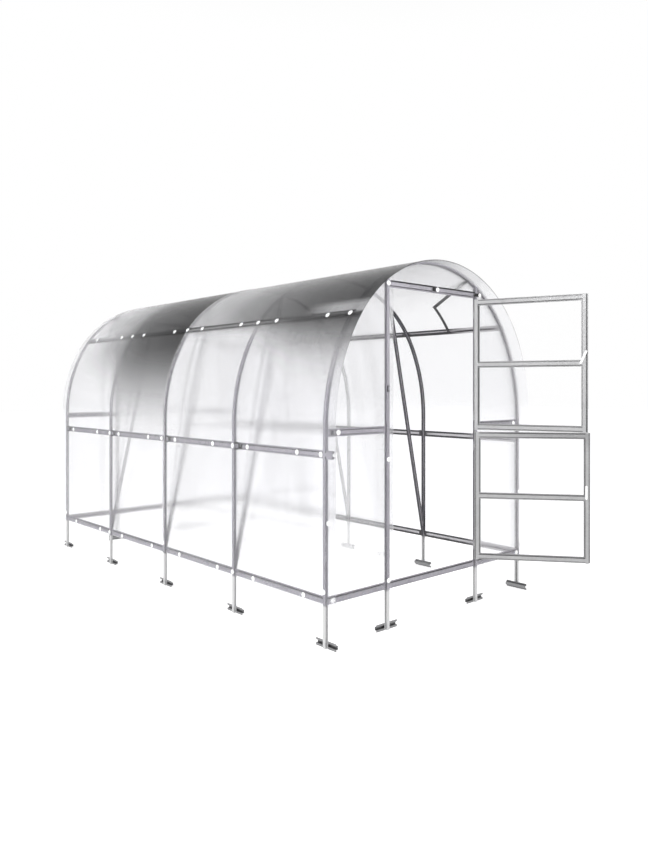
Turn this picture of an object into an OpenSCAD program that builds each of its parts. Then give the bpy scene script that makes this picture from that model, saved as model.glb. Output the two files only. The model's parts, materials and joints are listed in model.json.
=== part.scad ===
// Arched garden greenhouse: five galvanised hoops on legs, bent roof sheets and a split door.
// X runs across the gable, Y along the house with the door at the -Y end, Z is up from the ground.

/* [House] */
// Width of the frame over the hoops
house_w = 2000; // [1700:10:2400]
// Distance between neighbouring hoops
bay = 1000; // [700:10:1100]
// Height at which the straight legs of a hoop start to bend
spring_z = 1340; // [1250:10:1500]
// Bending radius of the hoop's shoulders, on the outside
shoulder_r = 1295; // [1200:5:1500]
// Angle that each shoulder bend turns through
shoulder_deg = 29; // [22:1:36]

/* [Profiles] */
// Width of the hoop, post and strut profile over its flanges
hoop_w = 44; // [38:1:52]
// Width of the rail profile over its flanges
rail_w = 50; // [44:1:60]
// Width of the door profile over its flanges
leaf_profile_w = 46; // [40:1:54]
// Depth of every hat profile
profile_d = 15; // [12:1:20]
// Width of the hat's raised web
web_w = 22; // [18:1:28]
// Thickness of the steel
steel_t = 1; // [0.8:0.1:1.5]

/* [Rails] */
// Height of the base rails' middle above the ground
base_z = 290; // [220:5:380]
// Height of the side rails' middle above the ground
side_rail_z = 1180; // [900:10:1300]
// Height of the gable rails' middle above the ground
gable_rail_z = 1312; // [1000:2:1500]
// Angle of the purlins above the horizontal, seen from the crown's centre
purlin_deg = 35.3; // [32:0.1:42]
// How far the left side rail and purlin run past the front hoop, and the right ones past the rear hoop
stub_l = 58; // [40:1:75]
// Length of the flattened tab at the other end of each rail
tab_l = 40; // [20:1:80]
// Length of the same tab on the rails across a gable
cross_tab_l = 25; // [15:1:50]

/* [Struts] */
// Height at which a strut leaves the leg
strut_foot_z = 360; // [340:5:600]
// Half distance between the upper ends of a pair of struts
strut_top_x = 590; // [500:5:680]

/* [Feet] */
// Length of the cross piece at the bottom of each leg
foot_l = 190; // [120:5:260]
// Height of that cross piece
foot_h = 48; // [36:1:60]

/* [Doorway] */
// Distance between the middles of the two door posts
doorway_w = 920; // [800:5:1000]
// How far the doorway lies left of the middle
door_shift = 10; // [0:1:30]
// Gap between the leaves' free edge and the lip of the gable sheet
free_gap = 14; // [6:1:30]
// Height of the lower leaf
lower_leaf_h = 934; // [800:2:1000]
// Height of the upper leaf
upper_leaf_h = 954; // [820:2:960]
// Gap under, between and over the leaves
leaf_gap = 15; // [8:1:25]
// Distance of the hinge axis from the edge of its post
hinge_side = 18; // [8:1:24]
// Gap between the hinge knuckles and the gable sheet
knuckle_clear = 0.5; // [0.3:0.1:4]
// Radius of the hinge knuckles
knuckle_r = 6; // [5:0.5:8]
// Radius of the hinge pins
pin_r = 3; // [2:0.5:4]
// Length of one hinge knuckle
knuckle_l = 22; // [16:1:30]
// How far the upper leaf stands open
upper_open_deg = 109; // [60:1:125]
// How far the lower leaf stands open
lower_open_deg = 126; // [60:1:135]

/* [Sheets] */
// Thickness of the twin-wall sheets
sheet_t = 4; // [3:0.5:6]
// How far the roof sheets reach past the end hoops' middles
overhang = 110; // [85:5:150]
// Lap of the two roof sheets over the middle hoop
roof_lap = 20; // [10:2:40]
// How far the left gable sheet shows past the door post
sheet_lip = 20; // [0:1:28]

/* [Hidden] */
$fn = 240;

// Hoop outline: straight legs, a wide bend at each shoulder, one bend over the crown
bays = 4;
half_w = house_w / 2;
bend_x = half_w - shoulder_r + shoulder_r * cos(shoulder_deg);
crown_r = bend_x / cos(shoulder_deg);
crown_z = spring_z + (shoulder_r - crown_r) * sin(shoulder_deg);
bend_lap = 0.02;
inner_x = half_w - profile_d;
inner_r = crown_r - profile_d;

// Rails lie on the flanges of what they cross, so they are one thickness shallower
rail_d = profile_d - steel_t;
purlin_ease = 0.1;
web_half = web_w / 2;
hoop_half = hoop_w / 2;

// Doorway
left_post_x = -door_shift - doorway_w / 2;
right_post_x = -door_shift + doorway_w / 2;
lower_leaf_z = base_z + rail_w / 2 + leaf_gap;
upper_leaf_z = lower_leaf_z + lower_leaf_h + leaf_gap;
leaf_top_z = upper_leaf_z + upper_leaf_h;
lintel_z = leaf_top_z + leaf_gap + rail_w / 2;
hinge_x = right_post_x - hoop_half - hinge_side;
hinge_out = knuckle_r + knuckle_clear;
leaf_w = doorway_w - hoop_w - hinge_side - sheet_lip - free_gap;
leaf_start = 2;
leaf_front = hinge_out + sheet_t;
leaf_back = leaf_front + profile_d;

// Front hoop's place, with the origin under the middle of the open greenhouse
sheet_ease = 0.3;
hinge_reach = hoop_half + sheet_ease + sheet_t + hinge_out;
function leaf_reach(turn) = leaf_w * sin(turn) - cos(turn) * (turn > 90 ? leaf_back : hinge_out);
door_reach = hinge_reach + max(leaf_reach(upper_open_deg), leaf_reach(lower_open_deg));
front_y = round(5 * (door_reach - bays * bay - overhang)) / 10;
rear_y = front_y + bays * bay;
function hoop_y(i) = front_y + i * bay;
front_face = front_y - hoop_half;
rear_face = rear_y + hoop_half;
sheet_face = front_face - sheet_ease - sheet_t;
hinge_y = sheet_face - hinge_out;
sheet_bottom = base_z - rail_w / 2;

// Hinges
hinge_plate_t = 2;
hinge_inset = 70;
hinge_axial = 0.3;
pin_clear = 0.05;
hinge_h = 3 * knuckle_l + 2 * hinge_axial;

// Latches
latch_l = 100;
latch_w = 15;
latch_t = 3.5;
latch_rise = 40;
latch_tilt = -25;
latch_in = 5;
latch_boss_d = 12;
latch_boss_h = 1.5;

// Roof brace in the front bay
brace_y = 520;
brace_w = 26;
brace_t = 4;
brace_knee_deg = 51;
brace_end_deg = 67;

steel = "#c3c4c9";
sheet = [0.86, 0.88, 0.9, 0.5];
plastic = "#f2f2f0";

// Hat profile: the web's outer face at x = 0, the flanges' inner face at x = -d
module hat(w, d) {
    f = w / 2;
    t = steel_t;
    c = web_half;
    polygon([
        [0, -c], [0, c], [t - d, c], [t - d, f], [-d, f], [-d, c - t], [-t, c - t],
        [-t, t - c], [-d, t - c], [-d, -f], [t - d, -f], [t - d, -c]
    ]);
}

// The area that a hoop encloses, seen along the house, drawn in by inset
module hoop_area(inset, z0) {
    w = half_w - inset;
    bend_h = (shoulder_r - inset) * sin(shoulder_deg);
    translate([0, crown_z]) circle(crown_r - inset);
    intersection() {
        translate([half_w - shoulder_r, spring_z]) circle(shoulder_r - inset + bend_lap);
        translate([shoulder_r - half_w, spring_z]) circle(shoulder_r - inset + bend_lap);
        translate([-house_w, spring_z]) square([2 * house_w, bend_h]);
    }
    translate([-w, z0]) square([2 * w, spring_z - z0]);
}

// A band along the hoop, from one inset to another, between y0 and y1
module hoop_band(inset0, inset1, y0, y1, z0) {
    translate([0, y1, 0])
        rotate([90, 0, 0])
            linear_extrude(y1 - y0)
                difference() {
                    hoop_area(inset0, z0);
                    hoop_area(inset1, z0 - 1);
                }
}

// The same area as a solid that fills the house from end to end
module hoop_room(inset) {
    translate([0, rear_y + bay, 0])
        rotate([90, 0, 0])
            linear_extrude((bays + 2) * bay) hoop_area(inset, -1);
}

module hoop(i) {
    wall = web_half - steel_t;
    color(steel)
        translate([0, hoop_y(i), 0]) {
            hoop_band(0, steel_t, -wall, wall, 0);
            for (side = [0, 1])
                mirror([0, side, 0]) {
                    hoop_band(0, profile_d, wall, web_half, 0);
                    hoop_band(rail_d, profile_d, web_half, hoop_half, 0);
                }
        }
}

// A rail along +Y with its web facing +X, ending in a flattened tab
module rail(l, d, tab = 0) {
    rotate([-90, 0, 0]) linear_extrude(l - tab) hat(rail_w, d);
    if (tab > 0)
        translate([-d, l - tab, -rail_w / 2]) cube([steel_t, tab, rail_w]);
}

// One rail between each two hoops, and a stub past the front hoop
module rail_row(d) {
    for (i = [0 : bays - 1])
        translate([0, hoop_y(i) + web_half, 0]) rail(bay - web_w, d, tab_l);
    stub = hoop_half + stub_l - web_half;
    translate([0, front_y - web_half - stub, 0]) rail(stub, d);
}

module base_rail_row() {
    for (i = [0 : bays - 1])
        translate([half_w, hoop_y(i) + web_half, base_z]) rail(bay - web_w, rail_d, tab_l);
}

module at_side_rail() {
    translate([half_w, 0, side_rail_z]) children();
}

module at_purlin() {
    translate([0, 0, crown_z])
        rotate([0, -purlin_deg, 0])
            translate([crown_r - purlin_ease, 0, 0]) children();
}

module left_side() {
    mirror([1, 0, 0]) children();
}

// Struts inside the three middle hoops, from the leg up to the crown
module struts() {
    top_z = crown_z + sqrt(inner_r * inner_r - strut_top_x * strut_top_x);
    run_x = strut_top_x - inner_x;
    run_z = top_z - strut_foot_z;
    spare = 150;
    intersection() {
        hoop_room(profile_d);
        for (i = [1 : bays - 1])
            translate([inner_x, hoop_y(i), strut_foot_z])
                rotate([0, -atan2(run_z, run_x), 0])
                    translate([-spare, 0, 0])
                        rotate([90, 0, 90])
                            linear_extrude(norm([run_x, run_z]) + 2 * spare)
                                rotate(-90) hat(hoop_w, profile_d);
    }
}

// Bent strip from the right purlin to a knee, then a flat bar to the front hoop
module roof_brace() {
    strip_r = crown_r - rail_d - purlin_ease;
    bar_r = inner_r - brace_t / 2 + 1;
    knee = [bar_r * cos(brace_knee_deg), brace_y, bar_r * sin(brace_knee_deg)];
    end = [bar_r * cos(brace_end_deg), hoop_half - 10, bar_r * sin(brace_end_deg)];
    mid_deg = (brace_knee_deg + brace_end_deg) / 2;
    along = (end - knee) / norm(end - knee);
    across = cross([cos(mid_deg), 0, sin(mid_deg)], along);
    side = across / norm(across);
    up = cross(along, side);
    color(steel)
        translate([0, front_y, crown_z]) {
            translate([0, brace_y + brace_w / 2, 0])
                rotate([90, 0, 0])
                    rotate([0, 0, purlin_deg])
                        rotate_extrude(angle = brace_knee_deg - purlin_deg)
                            translate([strip_r - brace_t, 0]) square([brace_t, brace_w]);
            intersection() {
                translate([0, -front_y, -crown_z]) hoop_room(profile_d);
                translate(knee)
                    multmatrix([
                        [along.x, side.x, up.x, 0],
                        [along.y, side.y, up.y, 0],
                        [along.z, side.z, up.z, 0]
                    ])
                        translate([-brace_w / 2, -brace_w / 2, -brace_t / 2])
                            cube([norm(end - knee) + brace_w / 2, brace_w, brace_t]);
            }
        }
}

// Cross pieces at the ground, on the inner face of each leg
module leg_feet() {
    for (i = [0 : bays])
        translate([inner_x - profile_d, hoop_y(i) - foot_l / 2, foot_h / 2])
            mirror([1, 0, 0])
                rotate([-90, 0, 0]) linear_extrude(foot_l) hat(foot_h, profile_d);
}

// Turns a piece of the front half into one of the rear half
module at_rear() {
    translate([0, front_y + rear_y, 0]) mirror([0, 1, 0]) children();
}

module post(x) {
    color(steel)
        intersection() {
            hoop_room(profile_d);
            translate([x, front_face, 0])
                rotate(-90) linear_extrude(crown_z + crown_r) hat(hoop_w, profile_d);
        }
}

module post_feet() {
    color(steel)
        for (x = [left_post_x, right_post_x])
            translate([x - foot_l / 2, front_face + 2 * profile_d, foot_h / 2])
                rotate([90, 0, 90]) linear_extrude(foot_l) hat(foot_h, profile_d);
}

// A rail across the gable from x0 to x1, with its web facing -Y and a tab at its right end
module cross_rail(x0, x1, z) {
    translate([x0, front_face, z]) rotate([0, 0, -90]) rail(x1 - x0, rail_d, cross_tab_l);
}

module lintel() {
    color(steel) cross_rail(left_post_x + web_half, right_post_x - web_half, lintel_z);
}

module wing_rails(z) {
    cross_rail(-inner_x, left_post_x - web_half, z);
    cross_rail(right_post_x + web_half, inner_x, z);
}

module base_cross_rails() {
    color(steel) {
        wing_rails(base_z);
        cross_rail(left_post_x + web_half, right_post_x - web_half, base_z);
    }
}

// Roof sheets: the front one steps up over the rear one at the middle hoop
module front_roof_sheet() {
    a = front_y - overhang;
    b = hoop_y(2) - roof_lap / 2;
    c = hoop_y(2) + roof_lap / 2;
    t = sheet_t;
    e = sheet_ease;
    color(sheet) {
        hoop_band(-e - t, -e, a, b - t - e, sheet_bottom);
        hoop_band(-2 * (e + t), -e, b - t - e, b - e, sheet_bottom);
        hoop_band(-2 * (e + t), -2 * e - t, b - e, c, sheet_bottom);
    }
}

module rear_roof_sheet() {
    b = hoop_y(2) - roof_lap / 2;
    color(sheet) hoop_band(-sheet_ease - sheet_t, -sheet_ease, b, rear_y + overhang, sheet_bottom);
}

// A gable sheet between x0 and x1, notched round the rail stubs on the left
module gable_sheet(x0, x1, z0) {
    margin = 2;
    notch_w = rail_w + 2 * margin;
    notch_d = profile_d + margin;
    color(sheet)
        translate([0, front_face - sheet_ease, 0])
            rotate([90, 0, 0])
                linear_extrude(sheet_t)
                    difference() {
                        intersection() {
                            hoop_area(margin, z0);
                            translate([x0, z0]) square([x1 - x0, crown_z + crown_r]);
                        }
                        mirror([1, 0]) {
                            translate([half_w - notch_d, side_rail_z - notch_w / 2])
                                square([notch_d, notch_w]);
                            translate([0, crown_z])
                                rotate(purlin_deg)
                                    translate([crown_r - notch_d, -notch_w / 2])
                                        square([notch_d + margin, notch_w]);
                        }
                    }
}

// Places a leaf's piece, made shut at x < 0 from the hinge axis, at its opening angle
module on_hinge(turn) {
    translate([hinge_x, hinge_y, 0]) rotate([0, 0, turn]) children();
}

// Heights at which a leaf of height h from z0 has its two hinges
function hinge_z(z0, h) = [z0 + hinge_inset, z0 + h - hinge_inset - hinge_h];

// A knuckle and the plate that reaches w from the hinge axis
module knuckle(w) {
    cylinder(r = knuckle_r, h = knuckle_l);
    translate([0, knuckle_r - hinge_plate_t, 0])
        cube([hinge_plate_t, hinge_plate_t + knuckle_clear, knuckle_l]);
    translate([0, hinge_out - hinge_plate_t, 0]) cube([w, hinge_plate_t, knuckle_l]);
}

// Plates on the post with the pins, under both leaves' knuckles
module post_hinges() {
    zs = concat(hinge_z(lower_leaf_z, lower_leaf_h), hinge_z(upper_leaf_z, upper_leaf_h));
    w = hinge_side + hoop_half + web_half;
    x0 = knuckle_r + hinge_axial;
    color(steel)
        for (z = zs)
            translate([hinge_x, hinge_y, z]) {
                translate([x0, hinge_out - hinge_plate_t, 0])
                    cube([w - x0, hinge_plate_t, hinge_h]);
                cylinder(r = pin_r, h = hinge_h);
                for (k = [0, hinge_h - knuckle_l])
                    translate([0, 0, k]) knuckle(w);
            }
}

module leaf_hinges(z0, h, turn) {
    color(steel)
        on_hinge(turn)
            for (z = hinge_z(z0, h))
                translate([0, 0, z + knuckle_l + hinge_axial])
                    difference() {
                        mirror([1, 0, 0]) knuckle(leaf_start + leaf_profile_w / 2 + web_half);
                        translate([0, 0, -1])
                            cylinder(r = pin_r + pin_clear, h = knuckle_l + 2);
                    }
}

function stile_x() = [-leaf_start - leaf_profile_w / 2, -leaf_w + leaf_profile_w / 2];

module leaf_stiles(z0, h, turn) {
    color(steel)
        on_hinge(turn)
            for (x = stile_x())
                translate([x, leaf_back, z0])
                    rotate(90) linear_extrude(h) hat(leaf_profile_w, profile_d);
}

module leaf_rails(z0, h, turn) {
    x0 = stile_x()[1] + web_half;
    x1 = stile_x()[0] - web_half;
    half = leaf_profile_w / 2;
    color(steel)
        on_hinge(turn)
            for (z = [half, h / 2, h - half])
                translate([x0, leaf_back, z0 + z])
                    rotate([90, 0, 90]) linear_extrude(x1 - x0) hat(leaf_profile_w, rail_d);
}

module leaf_pane(z0, h, turn) {
    edge = 8;
    color(sheet)
        on_hinge(turn)
            translate([edge - leaf_w, leaf_front - sheet_t, z0 + edge / 2])
                cube([leaf_w - 2 * edge - leaf_start, sheet_t, h - edge]);
}

// A turn button on its boss, across the free stile
module latch(z0, h, turn, tilt) {
    color(plastic)
        on_hinge(turn)
            translate([stile_x()[1] + latch_in, leaf_back, z0 + h / 2 + latch_rise]) {
                rotate([-90, 0, 0]) cylinder(d = latch_boss_d, h = latch_boss_h);
                translate([0, latch_boss_h, 0])
                    rotate([-90, 0, 0])
                        rotate(tilt)
                            linear_extrude(latch_t) {
                                square([latch_w, latch_l - latch_w], center = true);
                                for (end = [-1, 1])
                                    translate([0, end * (latch_l - latch_w) / 2])
                                        circle(d = latch_w);
                            }
            }
}

hoop(0);  // front_hoop
hoop(1);  // second_hoop
hoop(2);  // middle_hoop
hoop(3);  // fourth_hoop
hoop(4);  // rear_hoop
color(steel) left_side() base_rail_row();  // left_base_rail
color(steel) at_rear() base_rail_row();  // right_base_rail
color(steel) left_side() at_side_rail() rail_row(rail_d);  // left_side_rail
color(steel) at_rear() at_side_rail() rail_row(rail_d);  // right_side_rail
color(steel) left_side() at_purlin() rail_row(rail_d - 2 * purlin_ease);  // left_purlin
color(steel) at_rear() at_purlin() rail_row(rail_d - 2 * purlin_ease);  // right_purlin
color(steel) left_side() struts();  // left_struts
color(steel) struts();  // right_struts
roof_brace();
color(steel) left_side() leg_feet();  // left_feet
color(steel) leg_feet();  // right_feet
post_feet();  // front_post_feet
at_rear() post_feet();  // rear_post_feet
post(left_post_x);  // left_door_post
post(right_post_x);  // right_door_post
lintel();  // door_lintel
base_cross_rails();  // front_base_rail
color(steel) wing_rails(gable_rail_z);  // front_gable_rails
at_rear() post(left_post_x);  // rear_left_post
at_rear() post(right_post_x);  // rear_right_post
at_rear() lintel();  // rear_lintel
at_rear() base_cross_rails();  // rear_base_rail
color(steel) at_rear() wing_rails(gable_rail_z);  // rear_gable_rails
front_roof_sheet();
rear_roof_sheet();
gable_sheet(-half_w, left_post_x + hoop_half + sheet_lip, sheet_bottom);  // left_gable_sheet
gable_sheet(right_post_x - hoop_half, half_w, sheet_bottom);  // right_gable_sheet
gable_sheet(left_post_x + hoop_half + sheet_lip, right_post_x - hoop_half, lintel_z - rail_w / 2);  // transom_sheet
at_rear() left_side() gable_sheet(-half_w, half_w, sheet_bottom);  // rear_gable_sheet
post_hinges();
leaf_stiles(upper_leaf_z, upper_leaf_h, upper_open_deg);  // upper_leaf_stiles
leaf_rails(upper_leaf_z, upper_leaf_h, upper_open_deg);  // upper_leaf_rails
leaf_pane(upper_leaf_z, upper_leaf_h, upper_open_deg);  // upper_leaf_pane
leaf_hinges(upper_leaf_z, upper_leaf_h, upper_open_deg);  // upper_leaf_hinges
latch(upper_leaf_z, upper_leaf_h, upper_open_deg, latch_tilt);  // upper_latch
leaf_stiles(lower_leaf_z, lower_leaf_h, lower_open_deg);  // lower_leaf_stiles
leaf_rails(lower_leaf_z, lower_leaf_h, lower_open_deg);  // lower_leaf_rails
leaf_pane(lower_leaf_z, lower_leaf_h, lower_open_deg);  // lower_leaf_pane
leaf_hinges(lower_leaf_z, lower_leaf_h, lower_open_deg);  // lower_leaf_hinges
latch(lower_leaf_z, lower_leaf_h, lower_open_deg, 0);  // lower_latch
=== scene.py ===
import json
import math
import bpy
import bmesh
from mathutils import Vector, Matrix


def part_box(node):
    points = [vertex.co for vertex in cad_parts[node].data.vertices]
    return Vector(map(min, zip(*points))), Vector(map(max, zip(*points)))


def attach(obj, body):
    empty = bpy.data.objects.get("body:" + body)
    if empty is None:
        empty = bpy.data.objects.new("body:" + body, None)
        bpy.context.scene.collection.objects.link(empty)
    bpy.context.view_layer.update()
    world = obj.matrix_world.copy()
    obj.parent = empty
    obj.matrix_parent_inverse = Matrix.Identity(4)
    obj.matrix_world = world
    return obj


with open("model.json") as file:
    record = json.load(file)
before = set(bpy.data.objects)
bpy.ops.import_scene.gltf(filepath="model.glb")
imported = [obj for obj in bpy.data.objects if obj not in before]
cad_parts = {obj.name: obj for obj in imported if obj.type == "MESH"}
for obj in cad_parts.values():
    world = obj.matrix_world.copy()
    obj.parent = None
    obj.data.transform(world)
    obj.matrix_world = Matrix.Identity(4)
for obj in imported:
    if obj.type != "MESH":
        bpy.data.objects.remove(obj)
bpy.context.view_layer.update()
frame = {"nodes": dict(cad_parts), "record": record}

print("frame loaded:", len(frame["nodes"]), "nodes")


# places that the frame gives
def mid(node, axis):
    low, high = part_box(node)
    return (low[axis] + high[axis]) / 2


hoopNames = ["front_hoop", "second_hoop", "middle_hoop", "fourth_hoop", "rear_hoop"]
hoopY = [mid(name, 1) for name in hoopNames]
frontY, rearY = hoopY[0], hoopY[-1]
bayLength = hoopY[1] - hoopY[0]
hoopLow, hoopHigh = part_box("front_hoop")
hoopHalf = frontY - hoopLow[1]
halfWidth, apexZ = hoopHigh[0], hoopHigh[2]
baseZ = mid("left_base_rail", 2)
sideZ = mid("left_side_rail", 2)
gableZ = mid("front_gable_rails", 2)
lintelZ = mid("door_lintel", 2)
leftPostX = mid("left_door_post", 0)
rightPostX = mid("right_door_post", 0)
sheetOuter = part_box("rear_roof_sheet")[1][2] - apexZ  # outer face of a roof sheet over the hoops
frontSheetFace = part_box("transom_sheet")[0][1]
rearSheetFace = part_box("rear_gable_sheet")[1][1]
sides = ((-1, "left"), (1, "right"))
tabHoops = dict(left=hoopY[1:], right=hoopY[:-1])  # the hoops where each side's rails have their flat tabs

# how far each leaf stands open, in degrees
leafTurn = {}
for joint in frame["record"]["behaviour"]["joints"]:
    leafTurn[joint["name"].split("_")[0]] = -joint["range_deg"][0]

# the hoop's outline: straight leg, shoulder bend, crown bend
outline = dict(springZ=1.340, shoulderR=1.295, shoulderDeg=29.0, purlinDeg=35.3)
bend = math.radians(outline["shoulderDeg"])
crownR = (halfWidth - outline["shoulderR"] + outline["shoulderR"] * math.cos(bend)) / math.cos(bend)
crownZ = outline["springZ"] + (outline["shoulderR"] - crownR) * math.sin(bend)
purlinTurn = math.radians(outline["purlinDeg"])
houseCentre = (0.0, (frontY + rearY) / 2, 1.15)  # what the finishes take as the middle of the house


# small helpers for shader trees
def newMaterial(name):
    mat = bpy.data.materials.new(name)
    mat.use_nodes = True
    mat.node_tree.nodes.clear()
    out = mat.node_tree.nodes.new("ShaderNodeOutputMaterial")
    return mat, mat.node_tree, out


def feed(tree, socket, value):
    # another node's output is linked, and a plain value is set
    if isinstance(value, bpy.types.NodeSocket):
        tree.links.new(value, socket)
    elif socket.type == "RGBA":
        socket.default_value = (*value, 1)
    else:
        socket.default_value = value


def add(tree, kind, **values):
    # a value goes to the node's own property, or else to the socket of that name
    node = tree.nodes.new(kind)
    for key, value in values.items():
        if hasattr(node, key):
            setattr(node, key, value)
        else:
            feed(tree, node.inputs[key.replace("_", " ")], value)
    return node


def calc(tree, operation, *terms):
    node = add(tree, "ShaderNodeMath", operation=operation)
    for socket, term in zip(node.inputs, terms):
        feed(tree, socket, term)
    return node.outputs[0]


def calcVector(tree, operation, *terms):
    node = add(tree, "ShaderNodeVectorMath", operation=operation)
    for socket, term in zip(node.inputs, terms):
        feed(tree, socket, term)
    return node.outputs["Value" if operation == "DOT_PRODUCT" else "Vector"]


def spread(tree, source, low, high, toLow=0.0, toHigh=1.0, smooth=False):
    node = add(tree, "ShaderNodeMapRange", interpolation_type="SMOOTHSTEP" if smooth else "LINEAR")
    for socket, value in zip(node.inputs, (source, low, high, toLow, toHigh)):
        feed(tree, socket, value)
    return node.outputs[0]


def through(tree, source, stops):
    # straight lines through the (place, value) stops, level beyond the ends
    first, last = stops[0][0], stops[-1][0]
    node = add(tree, "ShaderNodeValToRGB")
    elements = node.color_ramp.elements
    for place, value in stops[1:-1]:
        elements.new((place - first) / (last - first))
    for element, (place, value) in zip(elements, stops):
        element.color = (value, value, value, 1)
    tree.links.new(spread(tree, source, first, last), node.inputs[0])
    return node.outputs[0]


def blendColours(tree, factor, low, high):
    node = add(tree, "ShaderNodeMix", data_type="RGBA")
    for index, value in ((0, factor), (6, low), (7, high)):
        feed(tree, node.inputs[index], value)
    return node.outputs[2]


def facingOut(tree, centre, stretch=(1, 0.5, 1)):
    # how far a face looks away from the centre: -1 inwards, 1 outwards; stretch weighs the axes
    geometry = add(tree, "ShaderNodeNewGeometry")
    fromCentre = calcVector(tree, "SUBTRACT", geometry.outputs["Position"], centre)
    unit = calcVector(tree, "NORMALIZE", calcVector(tree, "MULTIPLY", fromCentre, stretch))
    return calcVector(tree, "DOT_PRODUCT", geometry.outputs["Normal"], unit)


def openness(tree, reach):
    # 1 on an open face, less where another face of the same piece stands within reach
    node = add(tree, "ShaderNodeAmbientOcclusion", only_local=True, samples=6, Distance=reach)
    return node.outputs["AO"]


# galvanised steel: zinc spangle, cloudy dullness, painted shade in the profile's corners and on its side
# walls, and painted light and shade on the faces turned into the house
steelFinish = dict(
    # inside is painted light: faces turned into the house are made lighter than the outside
    outside=(0.33, 0.318, 0.352), outsideDull=(0.265, 0.257, 0.285), inside=(0.46, 0.45, 0.47),
    turnsOut=(-0.15, 0.25),  # what facingOut gives where the inside's look ends and the outside's begins
    # wallShade is painted shade on the profile's side walls
    wall=(0.15, 0.55), wallShade=0.72,
    leg=(0.60, 0.60, 0.605), legTop=0.04, legFade=0.02,
    # corner is painted shade in the corners; flange is painted shade and channel painted light on faces deep
    # inside the house, placed by squareIn, shadeFrom and shadeTo
    corner=(0.02, 0.019, 0.022), cornerReach=0.02, cornerFrom=0.3, cornerTo=0.62,
    flange=(0.05, 0.049, 0.053), channel=(0.62, 0.61, 0.63),
    channelReach=0.03, channelFrom=0.8, channelTo=0.95,
    squareIn=(-0.75, -0.55), squareStretch=(1, 0, 0.6), shadeFrom=0.3, shadeTo=0.55,
    spangle=85.0, flakes=0.35, cloud=6.0, cloudDetail=5.0, cloudRough=0.6, dullTo=0.35, brightFrom=1.0,
    metallic=0.5, roughDull=0.50, roughBright=0.32,
    grain=320.0, grainDetail=2.0, bump=0.1, bumpHeight=0.0004,
)
railFinish = dict(
    steelFinish, outside=(0.38, 0.366, 0.402), wallShade=0.06,
    cornerReach=0.009, cornerFrom=0.62, cornerTo=0.95,
)
purlinFinish = dict(railFinish, outside=(0.24, 0.232, 0.258), outsideDull=(0.19, 0.183, 0.204))
footFinish = dict(steelFinish, leg=(0.25, 0.25, 0.255), cornerFrom=0.5, cornerTo=0.9)
leafFinish = dict(
    steelFinish, outside=(0.43, 0.43, 0.435), outsideDull=(0.36, 0.36, 0.365), corner=(0.06, 0.06, 0.062),
    cornerFrom=0.5, cornerTo=0.9,
)
braceFinish = dict(
    steelFinish, outside=(0.12, 0.12, 0.122), outsideDull=(0.08, 0.08, 0.082), inside=(0.15, 0.15, 0.152),
)
screwFinish = dict(steelFinish, outside=(0.22, 0.22, 0.23), outsideDull=(0.14, 0.14, 0.15))
# near-black steel for the plates of painted shade
shadowPlateFinish = dict(steelFinish, outside=(0.012, 0.012, 0.013), outsideDull=(0.006, 0.006, 0.007))
capFinish = dict(steelFinish, cornerReach=0.006)
tabFinish = dict(
    steelFinish, outside=(0.56, 0.545, 0.58), outsideDull=(0.5, 0.485, 0.52), corner=(0.3, 0.29, 0.31),
)


def paintedInsideMask(tree, finish, centre, y):
    # where the inside's painted shade and light show: 1 on faces that look straight into the house, fading
    # off near the front hoop
    facing = facingOut(tree, centre, finish["squareStretch"])
    square = spread(tree, facing, *finish["squareIn"], 1.0, 0.0)
    deepInside = spread(tree, y, frontY + finish["shadeFrom"], frontY + finish["shadeTo"], smooth=True)
    return calc(tree, "MULTIPLY", square, deepInside)


def insideAndOut(tree, finish, centre, paintedInsideShare, z, zinc):
    # faces turned into the house are painted lighter; deeper in, where they look straight in, the flanges get
    # painted shade and the channel between them painted light
    within = spread(tree, openness(tree, finish["channelReach"]), finish["channelFrom"], finish["channelTo"])
    profile = blendColours(tree, within, finish["channel"], finish["flange"])
    inside = blendColours(tree, paintedInsideShare, finish["inside"], profile)
    outwards = facingOut(tree, centre)
    colour = blendColours(tree, spread(tree, outwards, *finish["turnsOut"], smooth=True), inside, zinc)
    # painted shade on the profile's side walls
    flat = spread(tree, calc(tree, "ABSOLUTE", outwards), *finish["wall"], smooth=True)
    wall = tuple(c * finish["wallShade"] for c in finish["outsideDull"])
    colour = blendColours(tree, flat, wall, colour)
    # below the base rail the legs take the leg colour
    legZ = baseZ - finish["legTop"]
    return blendColours(tree, spread(tree, z, legZ, legZ + finish["legFade"]), finish["leg"], colour)


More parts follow.
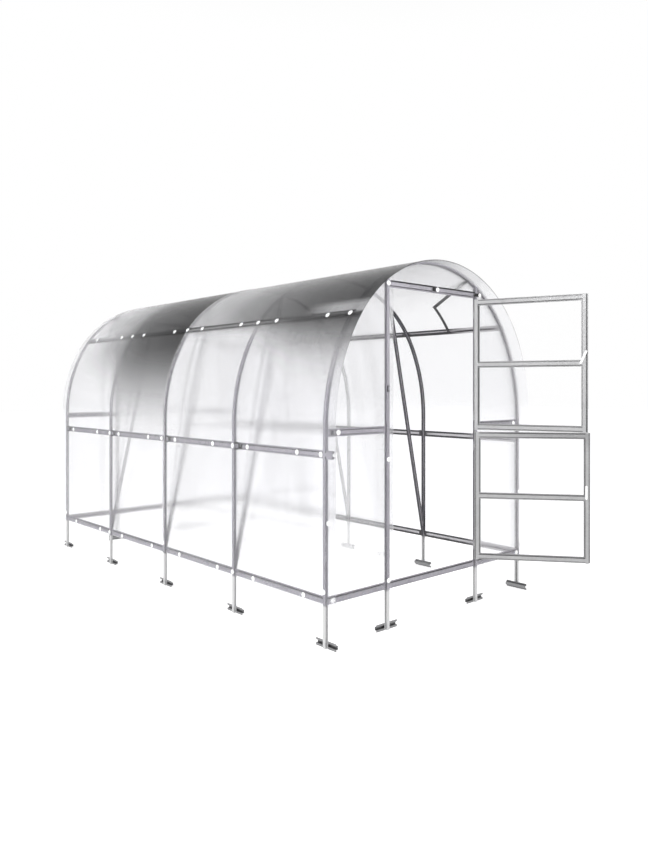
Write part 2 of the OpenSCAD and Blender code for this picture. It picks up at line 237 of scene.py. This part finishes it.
def galvanised(name, finish, centre=None):
    mat, tree, out = newMaterial(name)
    coord = add(tree, "ShaderNodeTexCoord").outputs["Object"]
    spangle = add(tree, "ShaderNodeTexVoronoi", Vector=coord, Scale=finish["spangle"])
    cloud = add(tree, "ShaderNodeTexNoise", Vector=coord, Scale=finish["cloud"], Detail=finish["cloudDetail"],
                Roughness=finish["cloudRough"])
    flake = add(tree, "ShaderNodeSeparateColor", Color=spangle.outputs["Color"]).outputs[0]
    mottle = calc(tree, "MULTIPLY_ADD", flake, finish["flakes"], cloud.outputs[0])
    bright = spread(tree, mottle, finish["dullTo"], finish["brightFrom"])
    colour = blendColours(tree, bright, finish["outsideDull"], finish["outside"])
    # painted shade in the corners: darker where another face of the same piece stands within reach
    outOfCornerShade = spread(tree, openness(tree, finish["cornerReach"]), finish["cornerFrom"], finish["cornerTo"])
    if centre:
        place = add(tree, "ShaderNodeSeparateXYZ", Vector=coord)
        paintedInsideShare = paintedInsideMask(tree, finish, centre, place.outputs["Y"])
        colour = insideAndOut(tree, finish, centre, paintedInsideShare, place.outputs["Z"], colour)
        # where the inside's painted light and shade show, the corners get no painted shade
        outOfCornerShade = calc(tree, "MAXIMUM", outOfCornerShade, paintedInsideShare)
    colour = blendColours(tree, outOfCornerShade, finish["corner"], colour)
    grain = add(tree, "ShaderNodeTexNoise", Vector=coord, Scale=finish["grain"], Detail=finish["grainDetail"])
    bump = add(tree, "ShaderNodeBump", Strength=finish["bump"], Distance=finish["bumpHeight"],
               Height=grain.outputs[0])
    rough = spread(tree, bright, 0.0, 1.0, finish["roughDull"], finish["roughBright"])
    shader = add(tree, "ShaderNodeBsdfPrincipled", Metallic=finish["metallic"], Base_Color=colour,
                 Roughness=rough, Normal=bump.outputs[0])
    tree.links.new(shader.outputs[0], out.inputs[0])
    return mat


hoopSteel = galvanised("galvanisedSteel", steelFinish, houseCentre)
railSteel = galvanised("galvanisedRailSteel", railFinish, houseCentre)
purlinSteel = galvanised("galvanisedPurlinSteel", purlinFinish, houseCentre)
leafSteel = galvanised("galvanisedLeafSteel", leafFinish)
footSteel = galvanised("galvanisedFootSteel", footFinish, houseCentre)
braceSteel = galvanised("galvanisedBraceSteel", braceFinish, houseCentre)
screwSteel = galvanised("zincScrew", screwFinish)
shadowPlateSteel = galvanised("shadedSteel", shadowPlateFinish)
capSteel = galvanised("capSteel", capFinish)
tabSteel = galvanised("brightSteel", tabFinish)
print("steel: done")

# twin-wall polycarbonate: clear skins, ribs that streak it, a painted dark reflection on the outer skin over
# the crown
sheetFinish = dict(
    clear=(0.925, 0.925, 0.942), tint=0.97, ribPitch=0.0062, ribDepth=0.14, ribHeight=0.0006,
    streaks=150.0, streakAlong=0.8, streakDetail=3.0, streakRough=0.65, streakRange=(0.3, 0.7),
    darkReflection=(0.035, 0.035, 0.036), reflectionBody=0.8, reflectionTransmission=0.2, reflectionFoot=1.0,
    hatch=0.06, markShade=0.25, skinTurn=0.02, ior=1.15, lightThrough=0.85,
)
roofFinish = dict(sheetFinish, body=0.8, streaky=0.08, roughness=0.15, transmission=0.96)
rearRoofFinish = dict(roofFinish, reflectionBody=0.85, ior=1.08)
gableFinish = dict(sheetFinish, body=0.4, streaky=0.1, roughness=0.2, transmission=0.95)
paneFinish = dict(sheetFinish, body=0.05, streaky=0.03, roughness=0.06, transmission=0.95)
# by metres behind the front hoop: crown is the painted dark reflection's share over the crown, and faded is
# how many metres above reflectionFoot it has faded out; full is the height at which the whole share shows
frontCrownReflection = dict(
    crown=[(0.0, 1.0), (0.53, 0.96), (0.93, 0.88), (1.33, 0.74), (1.53, 0.6), (2.1, 0.38)],
    faded=[(0.0, 0.5), (0.45, 0.6), (0.75, 0.78), (1.0, 0.91), (2.0, 0.93)],
    full=2.1,
)
rearCrownReflection = dict(
    crown=[(2.1, 1.0), (2.68, 0.95), (2.93, 0.88), (3.18, 0.64), (3.38, 0.51), (3.58, 0.33), (3.95, 0.05)],
    faded=[(2.0, 0.0), (2.85, 0.02), (3.1, 0.45), (3.5, 0.5)],
    full=2.02,
)
# a lighter strip in the painted dark reflection, over the purlin near the front: along the house, and by
# height
strip = dict(
    along=[(-0.02, 0.34), (0.2, 0.3), (0.5, 0.0)],
    z=[(2.055, 0.0), (2.075, 1.0), (2.12, 1.0), (2.16, 0.0)],
)
# the painted shadow lines where the purlin touches the sheet: by the distance from its middle line, and along
# the house
purlinShadow = dict(
    across=[(-0.031, 0.0), (-0.026, 0.85), (-0.012, 0.9), (-0.008, 0.7), (0.004, 0.7), (0.008, 0.95),
            (0.024, 0.95), (0.028, 0.0)],
    along=[(-0.07, 0.0), (-0.04, 1.0), (2.9, 1.0), (3.3, 0.5), (3.9, 0.4), (4.05, 0.0)],
)


def purlinShadowLine(tree, x, height):
    # by the distance from the purlin's middle line, upwards along the sheet
    up = calc(tree, "SUBTRACT", height, crownZ + crownR * math.sin(purlinTurn))
    across = calc(tree, "SUBTRACT", calc(tree, "ABSOLUTE", x), crownR * math.cos(purlinTurn))
    offPurlin = calc(tree, "SUBTRACT", calc(tree, "MULTIPLY", up, math.cos(purlinTurn)),
                     calc(tree, "MULTIPLY", across, math.sin(purlinTurn)))
    return through(tree, offPurlin, purlinShadow["across"])


def reflectionAndShadow(tree, finish, darkReflection, split):
    # how much painted dark reflection the outer skin shows, and how much of that is the purlin's painted
    # shadow
    behind = calc(tree, "SUBTRACT", split.outputs["Y"], frontY)
    height = split.outputs["Z"]
    outer = spread(tree, facingOut(tree, houseCentre), -finish["skinTurn"], finish["skinTurn"])
    foot = finish["reflectionFoot"]
    faded = spread(tree, through(tree, behind, darkReflection["faded"]), 0.0, 1.0, foot, foot + 1)
    upwards = spread(tree, height, faded, darkReflection["full"], smooth=True)
    paintedDarkShare = calc(tree, "MULTIPLY", through(tree, behind, darkReflection["crown"]), upwards)
    lighter = calc(tree, "MULTIPLY", through(tree, behind, strip["along"]), through(tree, height, strip["z"]))
    paintedDarkShare = calc(tree, "MULTIPLY", calc(tree, "SUBTRACT", paintedDarkShare, lighter), outer)
    purlinShadowShare = calc(tree, "MULTIPLY", purlinShadowLine(tree, split.outputs["X"], height), outer)
    purlinShadowShare = calc(tree, "MULTIPLY", purlinShadowShare, through(tree, behind, purlinShadow["along"]))
    return calc(tree, "MAXIMUM", paintedDarkShare, purlinShadowShare), purlinShadowShare


def reflectionColour(tree, finish, paintedDarkShare, purlinShadowShare, streak):
    # the painted dark reflection, streaked by the ribs, and darker still on the purlin's painted shadow
    hatch = spread(tree, streak, *finish["streakRange"], 1 - finish["hatch"], 1 + finish["hatch"])
    shade = spread(tree, purlinShadowShare, 0.0, 1.0, 1.0, finish["markShade"])
    dark = add(tree, "ShaderNodeVectorMath", operation="SCALE", Scale=calc(tree, "MULTIPLY", hatch, shade))
    feed(tree, dark.inputs[0], finish["darkReflection"])
    return blendColours(tree, paintedDarkShare, finish["clear"], dark.outputs[0])


def daylightThrough(tree, finish, body):
    # the sheet hardly shades what stands behind it
    path = add(tree, "ShaderNodeLightPath")
    passing = calc(tree, "MAXIMUM", path.outputs["Is Shadow Ray"], path.outputs["Is Diffuse Ray"])
    kept = spread(tree, passing, 0.0, 1.0, 1.0, 1 - finish["lightThrough"])
    return calc(tree, "MULTIPLY", body, kept)


def twinWall(name, finish, ribAxis, turn=0.0, darkReflection=None):
    mat, tree, out = newMaterial(name)
    coord = add(tree, "ShaderNodeTexCoord").outputs["Object"]
    turned = add(tree, "ShaderNodeMapping", Vector=coord, Rotation=(0, 0, math.radians(turn))).outputs[0]
    split = add(tree, "ShaderNodeSeparateXYZ", Vector=turned)

    # ribs, one crest each, and the uneven streaks that run along them
    turns = calc(tree, "MULTIPLY", split.outputs[ribAxis], 2 * math.pi / finish["ribPitch"])
    bump = add(tree, "ShaderNodeBump", Strength=finish["ribDepth"], Distance=finish["ribHeight"],
               Height=calc(tree, "SINE", turns))
    stretch = [finish["streakAlong"]] * 3
    stretch["XYZ".index(ribAxis)] = finish["streaks"]
    along = add(tree, "ShaderNodeMapping", Vector=turned, Scale=stretch).outputs[0]
    streak = add(tree, "ShaderNodeTexNoise", Vector=along, Scale=1.0, Detail=finish["streakDetail"],
                 Roughness=finish["streakRough"]).outputs[0]
    body = spread(tree, streak, *finish["streakRange"], finish["body"] - finish["streaky"] / 2,
                  finish["body"] + finish["streaky"] / 2)

    if darkReflection:
        paintedDarkShare, purlinShadowShare = reflectionAndShadow(tree, finish, darkReflection, split)
        colour = reflectionColour(tree, finish, paintedDarkShare, purlinShadowShare, streak)
        see = spread(tree, paintedDarkShare, 0.0, 1.0, finish["transmission"], finish["reflectionTransmission"])
        clearer = calc(tree, "MULTIPLY", body, calc(tree, "SUBTRACT", 1.0, paintedDarkShare))
        body = calc(tree, "ADD", clearer, calc(tree, "MULTIPLY", paintedDarkShare, finish["reflectionBody"]))
    else:
        tinted = tuple(c * finish["tint"] for c in finish["clear"])
        colour = blendColours(tree, streak, tinted, finish["clear"])
        see = finish["transmission"]
    shader = add(tree, "ShaderNodeBsdfPrincipled", Roughness=finish["roughness"], IOR=finish["ior"],
                 Base_Color=colour, Transmission_Weight=see, Alpha=daylightThrough(tree, finish, body),
                 Normal=bump.outputs[0])
    tree.links.new(shader.outputs[0], out.inputs[0])
    return mat


sheetLooks = dict(
    front_roof_sheet=twinWall("frontRoofTwinWall", roofFinish, "Y", darkReflection=frontCrownReflection),
    rear_roof_sheet=twinWall("rearRoofTwinWall", rearRoofFinish, "Y", darkReflection=rearCrownReflection),
    upper_leaf_pane=twinWall("upperPaneTwinWall", paneFinish, "X", -leafTurn["upper"]),
    lower_leaf_pane=twinWall("lowerPaneTwinWall", paneFinish, "X", -leafTurn["lower"]),
)
gableSheets = twinWall("gableTwinWall", gableFinish, "X")
print("sheets: done")

# moulded white plastic of the washers and turn buttons; its glow is painted light, the plastic glows a little
# though it is no lamp
plasticFinish = dict(
    colour=(0.95, 0.95, 0.95), worn=(0.9, 0.9, 0.9), wornRange=(0.3, 0.6), grain=60.0, grainDetail=3.0,
    roughness=0.35, glow=0.2, bump=0.06, bumpHeight=0.0003,
)


def mouldedPlastic(name, finish):
    mat, tree, out = newMaterial(name)
    coord = add(tree, "ShaderNodeTexCoord").outputs["Object"]
    grain = add(tree, "ShaderNodeTexNoise", Vector=coord, Scale=finish["grain"], Detail=finish["grainDetail"])
    unworn = spread(tree, grain.outputs[0], *finish["wornRange"])
    colour = blendColours(tree, unworn, finish["worn"], finish["colour"])
    bump = add(tree, "ShaderNodeBump", Strength=finish["bump"], Distance=finish["bumpHeight"],
               Height=grain.outputs[0])
    shader = add(tree, "ShaderNodeBsdfPrincipled", Roughness=finish["roughness"], Base_Color=colour,
                 Emission_Strength=finish["glow"], Emission_Color=colour, Normal=bump.outputs[0])
    tree.links.new(shader.outputs[0], out.inputs[0])
    return mat


whitePlastic = mouldedPlastic("whitePlastic", plasticFinish)


def lookOf(node):
    if node in sheetLooks:
        return sheetLooks[node]
    if node.endswith("_gable_sheet") or node == "transom_sheet":
        return gableSheets
    if node.endswith("_latch"):
        return whitePlastic
    if "_leaf_" in node:
        return leafSteel
    if node == "roof_brace":
        return braceSteel
    if node.endswith("_feet"):
        return footSteel
    if node.endswith("_purlin"):
        return purlinSteel
    if node.endswith(("_rail", "_rails", "_lintel")):
        return railSteel
    return hoopSteel


# every node from the frame gets its finish
for name, obj in frame["nodes"].items():
    for materialSlot in obj.material_slots:
        materialSlot.material = lookOf(name)
print("materials: done")


def meshFrom(name, bm):
    mesh = bpy.data.meshes.new(name)
    bm.to_mesh(mesh)
    bm.free()
    return mesh


def addPiece(name, bm, looks):
    mesh = meshFrom(name, bm)
    for look in looks:
        mesh.materials.append(look)
    obj = bpy.data.objects.new(name, mesh)
    bpy.context.scene.collection.objects.link(obj)
    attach(obj, "frame")


# domed washers with a hexagon screw head; the dome's stops are (share of radius, share of height)
washer = dict(
    radius=0.0172, height=0.0066, headRadius=0.0052, headHeight=0.003, segments=20,
    dome=[(1.0, 0.0), (0.95, 0.2), (0.8, 0.55), (0.6, 0.86), (0.42, 1.0)],
)
boltHead = dict(radius=0.0075, height=0.0045)
hexagon = dict(sides=6, chamfer=0.12, top=0.86)  # chamfer and top as shares of the head's radius
screwLooks = (whitePlastic, screwSteel)
plasticIndex, steelIndex = 0, 1


def ringOf(bm, radius, z, count):
    turns = [2 * math.pi * k / count for k in range(count)]
    return [bm.verts.new((radius * math.cos(turn), radius * math.sin(turn), z)) for turn in turns]


def skin(bm, low, high, index):
    for k in range(len(low)):
        after = (k + 1) % len(low)
        bm.faces.new((low[k], low[after], high[after], high[k])).material_index = index


def closedStack(bm, rings, index):
    # from the lowest ring to the highest, with a face across both ends
    for low, high in zip(rings, rings[1:]):
        skin(bm, low, high, index)
    bm.faces.new(rings[-1]).material_index = index
    bm.faces.new(list(reversed(rings[0]))).material_index = index


def hexHead(bm, radius, low, high, index):
    steps = [(radius, low), (radius, high - radius * hexagon["chamfer"]), (radius * hexagon["top"], high)]
    closedStack(bm, [ringOf(bm, r, z, hexagon["sides"]) for r, z in steps], index)


def washerMesh():
    bm = bmesh.new()
    height = washer["height"]
    rings = [ringOf(bm, washer["radius"] * share, height * rise, washer["segments"])
             for share, rise in washer["dome"]]
    closedStack(bm, rings, plasticIndex)
    hexHead(bm, washer["headRadius"], height, height + washer["headHeight"], plasticIndex)
    bmesh.ops.recalc_face_normals(bm, faces=bm.faces)
    return meshFrom("washerShape", bm)


def boltMesh():
    bm = bmesh.new()
    hexHead(bm, boltHead["radius"], 0.0, boltHead["height"], steelIndex)
    bmesh.ops.recalc_face_normals(bm, faces=bm.faces)
    return meshFrom("boltShape", bm)


washerShape = washerMesh()
boltShape = boltMesh()


def scatter(name, shape, places):
    # one joined mesh with the shape at each (point, outward normal)
    bm = bmesh.new()
    for point, normal in places:
        turn = Vector(normal).to_track_quat("Z", "Y").to_matrix().to_4x4()
        part = shape.copy()
        part.transform(Matrix.Translation(point) @ turn)
        bm.from_mesh(part)
        bpy.data.meshes.remove(part)
    addPiece(name, bm, screwLooks)


# where the roof's washers sit: shares of a bay, and how far off its hoop a side rail's washer is, by hoop
roofScrews = dict(
    base=(0.197, 0.746), side=(0.262, 0.816), purlin=(0.220, 0.775),
    endLift=0.055, sideShift={0: 0.027, 2: 0.035}, sink=0.0002,
)


def sheetOut(y):
    # the front sheet's end lies on the rear sheet over the middle hoop
    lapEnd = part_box("front_roof_sheet")[1][1]
    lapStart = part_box("rear_roof_sheet")[0][1] - sheetOuter
    return 2 * sheetOuter if lapStart < y < lapEnd else sheetOuter


def roofPoint(row, y, side):
    out = sheetOut(y) - roofScrews["sink"]
    if row == "purlin":
        r = crownR + out
        outward = (side * math.cos(purlinTurn), 0, math.sin(purlinTurn))
        return (side * r * math.cos(purlinTurn), y, crownZ + r * math.sin(purlinTurn)), outward
    return (side * (halfWidth + out), y, sideZ if row == "side" else baseZ), (side, 0, 0)


def roofRow(row, side):
    # two in each bay, then one at each hoop; only the base rail has one at the rear hoop
    places = [roofPoint(row, bayStart + share * bayLength, side)
              for bayStart in hoopY[:-1] for share in roofScrews[row]]
    for k, y in enumerate(hoopY if row == "base" else hoopY[:-1]):
        shift = roofScrews["sideShift"].get(k, 0) if row == "side" else 0
        (x, y, z), normal = roofPoint(row, y + shift, side)
        if row == "base" and k % 2 == 0:
            z += roofScrews["endLift"]
        places.append(((x, y, z), normal))
    return places


for side, label in sides:
    places = [place for row in ("base", "side", "purlin") for place in roofRow(row, side)]
    scatter(label + "_roof_screws", washerShape, places)

# gable washers: on the wings at the corner, beside the doorway, on the lintel
gableScrews = dict(
    wing=[(0.906, gableZ), (0.985, 0.764), (0.948, baseZ)],
    post=[(leftPostX, 1.118), (leftPostX, 0.325), (leftPostX, lintelZ)],
    lintel=[(0.012, lintelZ)], beside=[(0.484, lintelZ)],
)
for end, face, out in (("front", frontSheetFace, -1), ("rear", rearSheetFace, 1)):
    spots = gableScrews["post"] + gableScrews["lintel"]
    spots += [(side * x, z) for x, z in gableScrews["wing"] for side in (-1, 1)]
    if end == "rear":
        spots += [(rightPostX, z) for x, z in gableScrews["post"]]
    else:
        spots += gableScrews["beside"]
    places = [((x, face - out * roofScrews["sink"], z), (0, out, 0)) for x, z in spots]
    scatter(end + "_gable_screws", washerShape, places)
print("washers: done")

# bolts through the rails' tabs and the posts' splices, on the outside
bolts = dict(tabInset=0.020, reach=0.013, postZ=(1.566, 1.597))
for side, label in sides:
    places = []
    for z in (sideZ, baseZ):
        for y in tabHoops[label]:
            y += side * (hoopHalf / 2 + bolts["tabInset"])
            places.append(((side * (halfWidth - bolts["reach"]), y, z), (side, 0, 0)))
    scatter(label + "_tab_bolts", boltShape, places)
places = [((x, frontSheetFace, z), (0, -1, 0)) for x in (leftPostX, rightPostX) for z in bolts["postZ"]]
scatter("front_splice_bolts", boltShape, places)

# thin plates with softened edges, for what shows dark or light at the joints; the dark ones are painted shade
plate = dict(thick=0.0011, edge=0.3, edgeSteps=2)  # edge as a share of the least side


def boxOf(x, y, z):
    # low and high corner, from the pair of ends on each axis in either order
    return tuple(zip(sorted(x), sorted(y), sorted(z)))


def plates(name, boxes, look):
    bm = bmesh.new()
    for low, high in boxes:
        size = [b - a for a, b in zip(low, high)]
        centre = [(a + b) / 2 for a, b in zip(low, high)]
        matrix = Matrix.Translation(centre) @ Matrix.Diagonal((*size, 1))
        made = bmesh.ops.create_cube(bm, size=1.0, matrix=matrix)
        edges = list({edge for vert in made["verts"] for edge in vert.link_edges})
        bmesh.ops.bevel(bm, geom=edges, offset=min(size) * plate["edge"], segments=plate["edgeSteps"],
                        affect="EDGES", profile=0.5)
    addPiece(name, bm, (look,))


# at the side rails' joints: the flat tab, then the rail's open end, all measured from the hoop; the open end
# and the strips beside the tab are dark plates of painted shade
railJoint = dict(
    tabLength=0.048, openLength=0.048, openHeight=0.034, cornerRise=(0.015, 0.0265), proud=0.0002,
    tabFace=0.0125, tabSpan=(0.004, 0.036), tabHeight=0.022,
)
for side, label in sides:
    # each tab lies on the same side of its hoop: towards the front on the left, towards the rear on the right
    dark, light = [], []
    face = side * (halfWidth + railJoint["proud"])
    tabFace = side * (halfWidth - railJoint["tabFace"])
    depth = (face, face - side * plate["thick"])
    tabDepth = (tabFace, tabFace - side * plate["thick"])
    for hoop in tabHoops[label]:
        start = hoop + side * hoopHalf
        end = start + side * railJoint["tabLength"]
        openEnd = start + side * (railJoint["tabLength"] + railJoint["openLength"])
        half = railJoint["openHeight"] / 2
        dark.append(boxOf(depth, (end, openEnd), (sideZ - half, sideZ + half)))
        for up in (-1, 1):
            dark.append(boxOf(depth, (start, end), [sideZ + up * rise for rise in railJoint["cornerRise"]]))
        span = [start + side * length for length in railJoint["tabSpan"]]
        half = railJoint["tabHeight"] / 2
        light.append(boxOf(tabDepth, span, (sideZ - half, sideZ + half)))
    # a flat cap over the stub past the last hoop
    railLow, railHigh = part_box(label + "_side_rail")
    if side < 0:
        stub = (railLow[1], frontY + side * hoopHalf)
    else:
        stub = (railHigh[1], rearY + side * hoopHalf)
    plates(label + "_rail_cap", [boxOf(depth, stub, (railLow[2], railHigh[2]))], capSteel)
    plates(label + "_rail_opening_shade", dark, shadowPlateSteel)
    plates(label + "_rail_tabs", light, tabSteel)

# painted shade as dark plates at the ends of the lintel and the left gable rail, and at the slit of the left
# post's splice
frontJoint = dict(
    lintelEnds=[(-0.040, -0.010), (0.421, 0.473)], lintelHeight=0.024,
    wingEnds=[(-0.966, -0.940)], wingHeight=0.022,
    spliceZ=(1.560, 1.600), spliceWide=0.009, spliceOff=0.012,
)
depth = (frontSheetFace - plate["thick"], frontSheetFace)
boxes = []
for ends, height, z in (("lintelEnds", "lintelHeight", lintelZ), ("wingEnds", "wingHeight", gableZ)):
    half = frontJoint[height] / 2
    boxes += [boxOf(span, depth, (z - half, z + half)) for span in frontJoint[ends]]
spliceX = leftPostX - frontJoint["spliceOff"]
half = frontJoint["spliceWide"] / 2
boxes.append(boxOf((spliceX - half, spliceX + half), depth, frontJoint["spliceZ"]))
plates("front_joint_shade_plates", boxes, shadowPlateSteel)

# a dark strip of painted shade under the transom sheet, from post to post
transomShade = dict(rise=(0.0125, 0.0205))
span = (leftPostX + hoopHalf, rightPostX - hoopHalf)
box = boxOf(span, depth, [lintelZ + rise for rise in transomShade["rise"]])
plates("transom_shade_strip", [box], shadowPlateSteel)
print("bolts and joints: done")

# plain studio: a white floor and horizon, a darker ceiling
studio = dict(
    floor=0.82, grainLift=0.004, grain=2.0, floorSize=90, floorDrop=0.0005, lift=0.62,
    ceiling=0.22, whiteTo=0.42, darkFrom=0.95, horizon=0.85, zenith=0.5,
)


def whenSeen(tree):
    # 1 for what the camera, a reflection or a ray through a sheet sees, else 0
    path = add(tree, "ShaderNodeLightPath")
    direct = calc(tree, "MAXIMUM", path.outputs["Is Camera Ray"], path.outputs["Is Glossy Ray"])
    return calc(tree, "MAXIMUM", direct, path.outputs["Is Transmission Ray"])


def floorPaint():
    mat, tree, out = newMaterial("studioFloor")
    grain = add(tree, "ShaderNodeTexNoise", Scale=studio["grain"])
    dull, bright = [(shade,) * 3 for shade in (studio["floor"], studio["floor"] + studio["grainLift"])]
    matte = add(tree, "ShaderNodeBsdfDiffuse", Color=blendColours(tree, grain.outputs[0], dull, bright))
    glow = add(tree, "ShaderNodeEmission", Strength=calc(tree, "MULTIPLY", whenSeen(tree), studio["lift"]))
    both = add(tree, "ShaderNodeAddShader")
    tree.links.new(matte.outputs[0], both.inputs[0])
    tree.links.new(glow.outputs[0], both.inputs[1])
    tree.links.new(both.outputs[0], out.inputs[0])
    return mat


bpy.ops.mesh.primitive_plane_add(size=studio["floorSize"], location=(0, 0, -studio["floorDrop"]))
floor = bpy.context.object
floor.name = "studio_floor"
floor.data.materials.append(floorPaint())


def studioWorld():
    world = bpy.data.worlds.new("studioWorld")
    world.use_nodes = True
    tree = world.node_tree
    tree.nodes.clear()
    out = tree.nodes.new("ShaderNodeOutputWorld")
    coord = add(tree, "ShaderNodeTexCoord").outputs["Generated"]
    up = add(tree, "ShaderNodeSeparateXYZ", Vector=coord).outputs["Z"]
    shown = spread(tree, up, studio["whiteTo"], studio["darkFrom"], 1.0, studio["ceiling"], smooth=True)
    level = spread(tree, up, 0.0, 1.0, studio["horizon"], studio["zenith"])
    backdrop = add(tree, "ShaderNodeBackground", Color=(1, 1, 1), Strength=shown)
    light = add(tree, "ShaderNodeBackground", Color=(1, 1, 1), Strength=level)
    pick = add(tree, "ShaderNodeMixShader")
    tree.links.new(whenSeen(tree), pick.inputs[0])
    tree.links.new(light.outputs[0], pick.inputs[1])
    tree.links.new(backdrop.outputs[0], pick.inputs[2])
    tree.links.new(pick.outputs[0], out.inputs[0])
    return world


bpy.context.scene.world = studioWorld()

lamps = dict(
    keySoftBox=dict(place=(-7.5, -5.0, 5.0), aim=(0, 0, 1.1), size=(4.0, 4.0), power=300),
    frontSoftBox=dict(place=(3.0, -9.0, 3.5), aim=(0, 0, 1.2), size=(4.0, 3.0), power=160),
    sideSoftBox=dict(place=(-8.0, 1.5, 1.8), aim=(0, 0.3, 1.2), size=(5.0, 3.0), power=150),
)


def softBox(name, place, aim, size, power):
    data = bpy.data.lights.new(name, "AREA")
    data.shape = "RECTANGLE"
    data.size, data.size_y = size
    data.energy = power
    lamp = bpy.data.objects.new(name, data)
    lamp.location = place
    lamp.rotation_euler = (Vector(aim) - Vector(place)).to_track_quat("-Z", "Y").to_euler()
    lamp.visible_camera = False
    bpy.context.scene.collection.objects.link(lamp)


for name, lamp in lamps.items():
    softBox(name, **lamp)

# camera at the viewing angle
eye = dict(
    x=-3.8811, back=3.4507, z=1.5874, yaw=43.81, lens=30.76, sensor=36.0, shiftX=-0.0590, shiftY=-0.0513,
)
cameraData = bpy.data.cameras.new("viewCamera")
cameraData.lens = eye["lens"]
cameraData.sensor_width = eye["sensor"]
cameraData.shift_x = eye["shiftX"]
cameraData.shift_y = eye["shiftY"]
camera = bpy.data.objects.new("viewCamera", cameraData)
camera.location = (eye["x"], frontY - eye["back"], eye["z"])
camera.rotation_euler = (math.radians(90), 0, math.radians(-eye["yaw"]))
bpy.context.scene.collection.objects.link(camera)
bpy.context.scene.camera = camera

bpy.context.scene.view_settings.view_transform = "Standard"
print("studio and camera: done")
